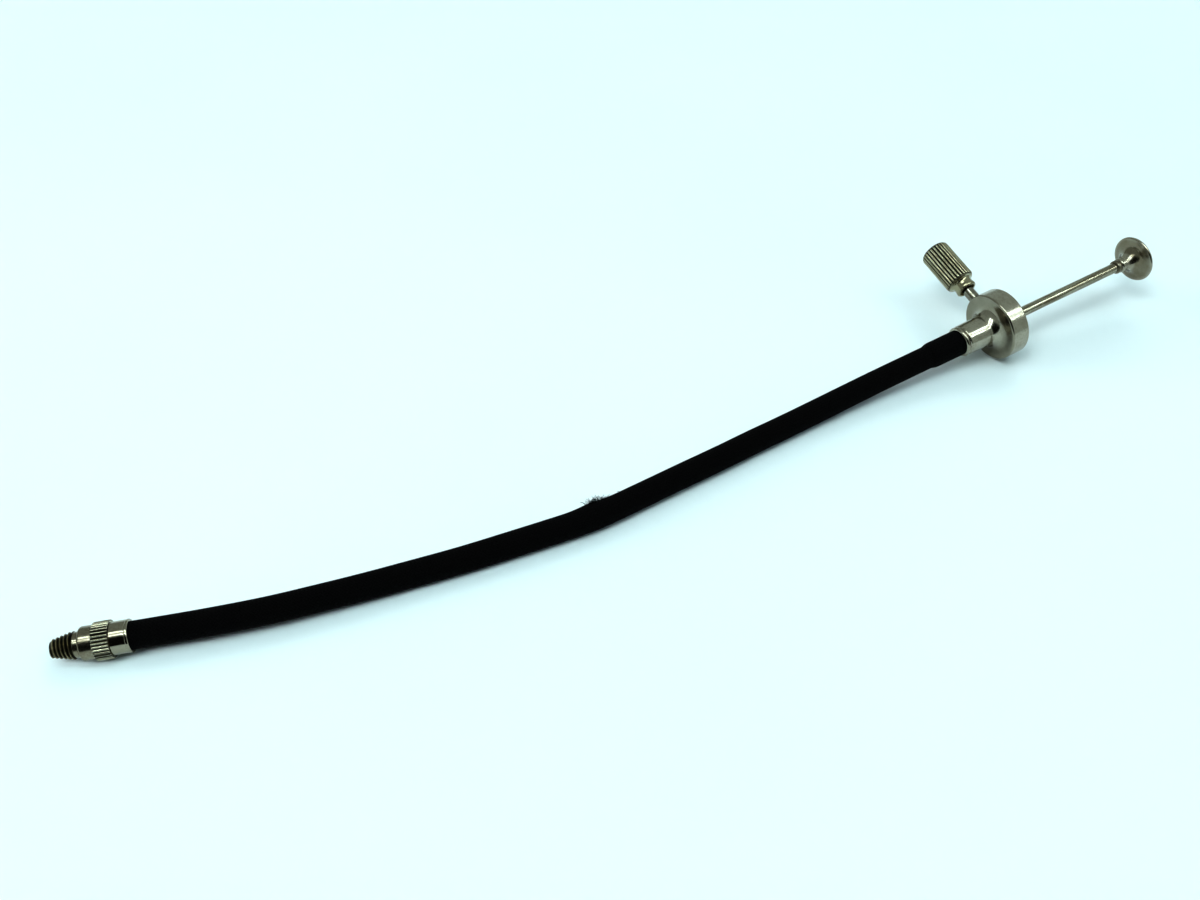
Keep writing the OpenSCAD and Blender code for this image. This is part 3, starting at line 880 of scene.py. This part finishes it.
head = turned(
    "ribbed_head",
    held(
        [(11.75, axis_r), (11.75, 0.95), (8.2, 0.95), (8.2, 1.275), (7.76, 1.275)]
        + arc(7.82, 1.335, 0.06, 180, 270, 3)
        + arc(8.0, 1.375, 0.3, -90, 0, 7)
        + [(8.2, 1.672), (8.35, 1.64), (8.5, 1.604), (8.6, 1.595)]
        + arc(8.92, 2.125, 0.53, 180, 90, 9)
        + [(9.52, 2.19), (9.6, 2.25), (9.68, 2.31), (9.76, 2.355), (9.86, lock_head_r)]
        + [(16.42, lock_head_r), (16.52, 2.35), (16.60, 2.31), (16.68, 2.25), (16.76, 2.19)]
        + [(16.84, 2.11), (16.89, 2.03), (lock_head_end, 1.95), (lock_head_end, axis_r)]
    ),
    sides=lock_ribs * len(rib_shape),
    bored=False,
)
knurl(head, lock_ribs, lock_head_r, lock_rib_height, 9.4, lock_head_end + 0.05)
settle(head, lock_place, "lock_screw_head", "lock_head", worn_knurl, 40)

# Tip: ferrule with the flanged spigot, grip ring, nipple with its thread, pin
ferrule_back, ferrule_floor = -2.25, -0.75
spigot_r, flange_r, pin_bore_r = 1.2, 1.55, 0.625
ferrule = turned(
    "crimped_ferrule",
    held(
        [(ferrule_back, sleeve_fit_r), (ferrule_back, 1.99)]
        + arc(-2.09, 1.99, 0.16, -90, 0, 6)
        + [(-1.93, 2.15), (-1.89, 2.13), (-1.84, 2.095), (-1.78, 2.10), (-1.72, 2.12)]
        + [(-0.04, 2.12), (-0.02, 2.115), (0, 2.10)]
        + [(0, spigot_r), (0.7, spigot_r), (0.7, flange_r), (1.1, flange_r)]
        + [(1.1, pin_bore_r), (ferrule_floor, pin_bore_r), (ferrule_floor, sleeve_fit_r)]
    ),
)
settle(ferrule, tip_place, "casing", "tip_ferrule", nickel_on_tip)

ring = turned(
    "grip_ring",
    held(
        [(0.15, 1.25), (0.04, 1.6), (0.04, 2.36), (0.05, 2.39), (0.07, 2.42), (0.10, 2.44)]
        + [(0.15, tip_r), (1.92, tip_r), (1.97, 2.44), (2.01, 2.41), (2.04, 2.37)]
        + [(ring_end, 2.34), (ring_end, 1.75), (0.65, 1.75), (0.65, 1.25)]
    ),
    sides=ring_ribs * len(rib_shape),
)
knurl(ring, ring_ribs, tip_r, ring_rib_height, 0.0, ring_end + 0.05)
settle(ring, tip_place, "nipple", "knurled_ring", ring_knurl, 40)


def crest_radius(t):
    """The radius over the tapering thread's crests."""
    return crest_r - taper_drop * (t - taper_start) / taper_length


nipple = turned(
    "nipple_body",
    held(
        [(1.15, pin_bore_r), (1.15, 1.73), (ring_end, 1.73), (ring_end, 2.12), (2.09, 2.175)]
        + arc(3.45, 1.825, 0.35, 0, 90, 8)
        + [(3.8, 1.70), (3.85, 1.65), (4.42, 1.65), (4.5, 1.60), (4.56, 1.53)]
        + [(7.25, crest_radius(7.25) - 0.31), (7.33, 0.86), (thread_end, 0.84)]
        + [(7.2, 0.66), (7.1, pin_bore_r)]
    ),
)
settle(nipple, tip_place, "nipple", "threaded_nipple", nickel_on_nipple)

# The thread's V section, screwed up the axis, drawn in to a cone and cut flat at both ends
bpy.ops.object.select_all(action="DESELECT")
bpy.ops.mesh.primitive_circle_add(vertices=3, radius=0.2)
thread = bpy.context.object
thread.name = thread.data.name = "taper_thread"
groove, half_width, lead_in = 0.34, 0.245, 0.35
v_section = ((0.0, 0.0), (-groove, -half_width), (-groove, half_width))
for point, (outward, along) in zip(thread.data.vertices, v_section):
    point.co = (crest_r + outward, 0, along)
screw_up(thread, thread_pitch, 7, 72)
for point in thread.data.vertices:
    t = thread_start - lead_in + point.co.z
    taper = crest_radius(t) / crest_r
    point.co.x *= taper
    point.co.y *= taper
    point.co.z = t
bpy.ops.object.mode_set(mode="EDIT")
for station, way in ((thread_start + 0.03, -1), (thread_end - 0.06, 1)):
    bpy.ops.mesh.select_all(action="SELECT")
    bpy.ops.mesh.bisect(
        plane_co=(0, 0, station), plane_no=(0, 0, way),
        use_fill=True, clear_outer=True, threshold=1e-5,
    )
face_outward()
settle(thread, tip_place, "nipple", "threaded_nipple", thread_brown, 50)

pin = turned(
    "push_pin_turned",
    held([(-9.05, axis_r), (-9.05, 0.575), (6.82, 0.575), (6.95, 0.44), (6.95, axis_r)]),
    sides=48,
    bored=False,
)
settle(pin, tip_place, "pin", "push_pin", pin_steel)

# The return spring: a round wire screwed up the handle's axis, drawn at one length; in the release
# it is pressed flat as the rod comes in
bpy.ops.object.select_all(action="DESELECT")
bpy.ops.mesh.primitive_circle_add(vertices=10, radius=spring_wire_r)
spring = bpy.context.object
spring.name = spring.data.name = "coil_spring"
for point in spring.data.vertices:
    point.co = (spring_r + point.co.x, 0, point.co.y)
screw_up(spring, (spring_front - spring_back) / spring_coils, spring_coils, 32)
for point in spring.data.vertices:
    point.co.z += spring_back
bpy.ops.object.mode_set(mode="EDIT")
close_ends(bored=False)
settle(spring, handle_place, "casing", "return_spring", casing_steel, 50)
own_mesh(spring)

# The hidden pieces that keep the shape they came with
for node, finish in (
    ("rod_stop", plain_brass),
    ("guide_tube", plain_brass),
    ("tube_bush", plain_brass),
    ("wound_casing", casing_steel),
    ("inner_wire", casing_steel),
):
    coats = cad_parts[node].data.materials
    coats.clear()
    coats.append(finish)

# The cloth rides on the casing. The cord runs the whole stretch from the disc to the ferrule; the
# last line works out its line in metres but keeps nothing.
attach(woven_sleeve, "casing")
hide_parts("cloth_sleeve")
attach(woven_cuff, "casing")
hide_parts("neck_cuff")
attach(frayed_threads, "casing")
[[0.001 * c for c in p] for p in cable_line]

# ------------------------------------------------------------------ floor and light

bpy.ops.object.select_all(action="DESELECT")
bpy.ops.mesh.primitive_plane_add(size=3, location=(0, 0, 0))
table_top = bpy.context.object
table_top.name = "table_top"
PAPER_DARK, PAPER_LIGHT = (0.690, 0.836, 0.850), (0.708, 0.846, 0.858)
paper, tone = new_finish("pale_paper")
at = tone.node("ShaderNodeTexCoord", None, None, 3)
cloud = tone.noise(at, 9.0, 2.0, 0.5)
colour = cloud.band(0.3, 0.7).mixed(PAPER_DARK, PAPER_LIGHT)
shader = tone.node(
    "ShaderNodeBsdfPrincipled",
    None,
    {"Base Color": colour, "Roughness": 0.85, "Specular IOR Level": 0.1},
)
close_finish(tone, shader)
table_top.data.materials.append(paper)

# Level directions across the view and toward the camera, and a point near the cable's middle
across = Vector((0.8883, -0.4592, 0))
toward = Vector((-0.4592, -0.8883, 0))
middle = Vector((-0.06, -0.005, 0))
COOL_WHITE = (0.84, 1.0, 1.04)
PLAIN_WHITE = (1.0, 1.0, 1.0)


def beside(sideways, forward, height=0.0):
    """A place so many metres from the middle."""
    return middle + across * sideways + toward * forward + Vector((0, 0, height))


def lamp(name, place, aim, width, length, watts, seen=True, lights_floor=True):
    """A long lamp that faces aim, its length across the view. One that isn't seen makes no
    highlight, and one that doesn't light the floor makes nothing else."""
    data = bpy.data.lights.new(name, "AREA")
    data.shape = "RECTANGLE"
    data.size, data.size_y = length, width
    data.energy = watts
    data.color = COOL_WHITE if seen else PLAIN_WHITE
    light = bpy.data.objects.new(name, data)
    scene.collection.objects.link(light)
    down = (aim - place).normalized()
    side = (across - down * across.dot(down)).normalized()
    light.matrix_world = Matrix.Translation(place) @ Matrix(
        (side, down.cross(side).normalized() * -1, -down)
    ).transposed().to_4x4()
    light.visible_glossy = seen
    light.visible_diffuse = lights_floor


# Two tubes overhead with the reflector between them, then the panels that only light
lamp("tube_back", beside(0.3, 0.045, 1), beside(0.3, 0), width=0.055, length=1.9, watts=4.0)
lamp("tube_front", beside(0.15, 0.395, 1), beside(0.15, 0), width=0.055, length=2.1, watts=4.2)
lamp(
    "reflector", beside(0.2, 0.21, 1.03), beside(0.2, 0), width=0.48, length=2.1, watts=4.8,
    lights_floor=False,
)
lamp("key_panel", beside(-0.81, 0.81, 1.64), middle, width=0.6, length=0.8, watts=16, seen=False)
lamp("side_panel", beside(-1.93, 0, 0.52), middle, width=0.6, length=1.4, watts=24, seen=False)
lamp("far_panel", beside(0.5, -1.2, 1.5), middle, width=0.8, length=1.2, watts=8, seen=False)

# The room: a pale ceiling to be mirrored, brighter to the right, and a dark shape where
# the person stands who looks at the release. What is mirrored is brighter than what lights.
CEILING_LEFT, CEILING_RIGHT = (0.40, 0.48, 0.46), (0.54, 0.66, 0.64)
PERSON_MIRRORED = (0.008, 0.008, 0.006)
ROOM_GREY, PERSON_GREY = (0.26, 0.26, 0.26), (0.01, 0.01, 0.01)
room = bpy.data.worlds.new("room")
room.use_nodes = True
room.node_tree.nodes.clear()
scene.world = room
tone = Tone(room.node_tree)
way = tone.node("ShaderNodeTexCoord", None, None, 0)
x, y, z = way.axes()
flat = (x * x + y * y).root().most(0.001)
facing = (x * toward.x + y * toward.y) / flat
person = facing.band(0.62, 0.86) * (1.0 - z.band(0.80, 0.88))
sideways = (x * across.x + y * across.y).band(-0.75, 0.35)
ceiling = sideways.mixed(CEILING_LEFT, CEILING_RIGHT)
mirrored = person.mixed(ceiling, PERSON_MIRRORED)
lighting = person.mixed(ROOM_GREY, PERSON_GREY)
glossy = tone.node("ShaderNodeLightPath", output="Is Glossy Ray")
colour = glossy.mixed(lighting, mirrored)
sky = tone.node("ShaderNodeBackground", None, {"Color": colour, "Strength": 1.0})
output = room.node_tree.nodes.new("ShaderNodeOutputWorld")
room.node_tree.links.new(sky.socket, output.inputs["Surface"])

scene.view_settings.view_transform = "Standard"
scene.view_settings.gamma = 0.8
